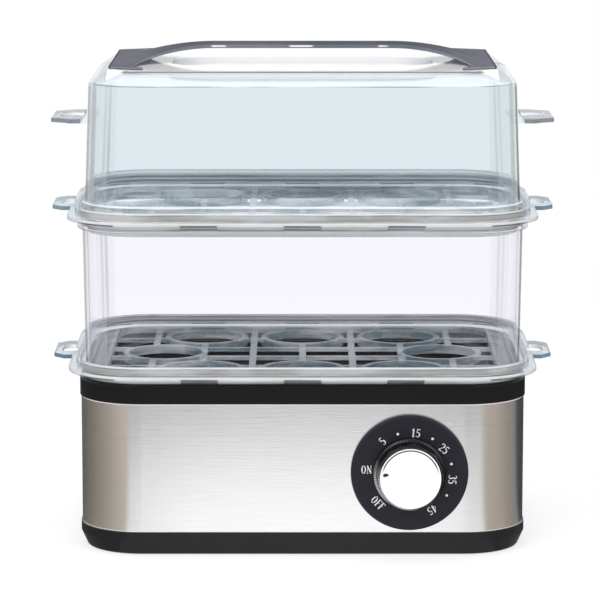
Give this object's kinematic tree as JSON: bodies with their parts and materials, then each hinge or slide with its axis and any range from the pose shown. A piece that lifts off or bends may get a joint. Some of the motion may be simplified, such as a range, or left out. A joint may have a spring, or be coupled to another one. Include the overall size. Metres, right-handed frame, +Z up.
{
  "type": "electric egg boiler",
  "caption": "Stacked egg boiler: steel-banded heating base with a timer knob, lift-out egg trays with side ears, a clear chamber and a clear lid with a low bridge handle.",
  "frame": {"origin": "middle of the bounding box in plan, at table height under the rubber feet", "axes": "+X to the right seen from the front, -Y towards the front where the dial is, +Z up"},
  "size_m": [0.216, 0.1504, 0.2114],
  "materials": {
    "black_plastic": "fine satin texture",
    "brushed_band": "brushed lengthwise",
    "black_ring": "semi-gloss",
    "coated_pan": "non-stick coating",
    "silicone": "soft matt",
    "cast_aluminium": "as cast",
    "element_sheath": "heat-dulled",
    "nickel_pins": "nickel-plated",
    "zinc_steel": "zinc-plated",
    "ceramic": "unglazed",
    "aluminium_sheet": "rolled sheet",
    "phenolic": "moulded phenolic",
    "white_plastic": "moulded",
    "chromed_gong": "plated",
    "dial_black": "black with white figures",
    "knob_silver": "silver plated plastic",
    "cap_chrome": "spun bright face",
    "inlet_black": "moulded",
    "brass_blades": "plated",
    "foot_rubber": "matt",
    "lead_brown": "insulation",
    "lead_white": "heat-proof sleeve",
    "lead_blue": "insulation",
    "lead_green": "insulation",
    "tray_clear": "clear with a blue tint",
    "clear_plastic": "clear",
    "smoky_plastic": "smoky, polished",
    "rivet_plastic": "polished"
  },
  "bodies": {
    "base": {"base_shell": "black_plastic", "steel_band": "brushed_band", "top_ring": "black_ring", "water_pan": "coated_pan", "pan_seal": "silicone", "heat_spreader": "cast_aluminium", "heating_element": "element_sheath", "element_pins": "nickel_pins", "clamp_bars": "zinc_steel", "clamp_screws": "zinc_steel", "shield_spacers": "ceramic", "heat_shield": "aluminium_sheet", "thermostat": "phenolic", "fuse_block": "ceramic", "thermal_fuse": "nickel_pins", "timer_case": "white_plastic", "timer_back": "zinc_steel", "timer_bell": "chromed_gong", "timer_screws": "zinc_steel", "dial_plate": "dial_black", "power_inlet": "inlet_black", "inlet_blades": "brass_blades", "inlet_screws": "zinc_steel", "inlet_nuts": "zinc_steel", "rubber_feet": "foot_rubber", "base_screws": "zinc_steel", "live_lead": "lead_brown", "timer_lead": "lead_brown", "fuse_lead": "lead_white", "element_lead": "lead_white", "neutral_lead": "lead_blue", "earth_lead": "lead_green"},
    "timer_knob": {"knob": "knob_silver", "knob_cap": "cap_chrome", "timer_shaft": "zinc_steel", "timer_cam": "white_plastic"},
    "lower_tray": {"lower_egg_tray": "tray_clear"},
    "chamber": {"middle_chamber": "clear_plastic"},
    "upper_tray": {"upper_egg_tray": "tray_clear"},
    "cover": {"lid": "clear_plastic", "lid_handle": "smoky_plastic", "handle_rivets": "rivet_plastic"}
  },
  "joints": [
    {"name": "timer_turn", "type": "hinge", "parent": "base", "child": "timer_knob", "pos_m": [0.045, -0.0613, 0.036], "axis": [0, 1, 0], "range_deg": [-45, 238]},
    {"name": "lower_tray_lift", "type": "slide", "parent": "base", "child": "lower_tray", "axis": [0, 0, 1], "range_m": [0, 0.05]},
    {"name": "chamber_lift", "type": "slide", "parent": "lower_tray", "child": "chamber", "axis": [0, 0, 1], "range_m": [0, 0.05]},
    {"name": "upper_tray_lift", "type": "slide", "parent": "chamber", "child": "upper_tray", "axis": [0, 0, 1], "range_m": [0, 0.05]},
    {"name": "cover_lift", "type": "slide", "parent": "upper_tray", "child": "cover", "axis": [0, 0, 1], "range_m": [0, 0.1]}
  ]
}
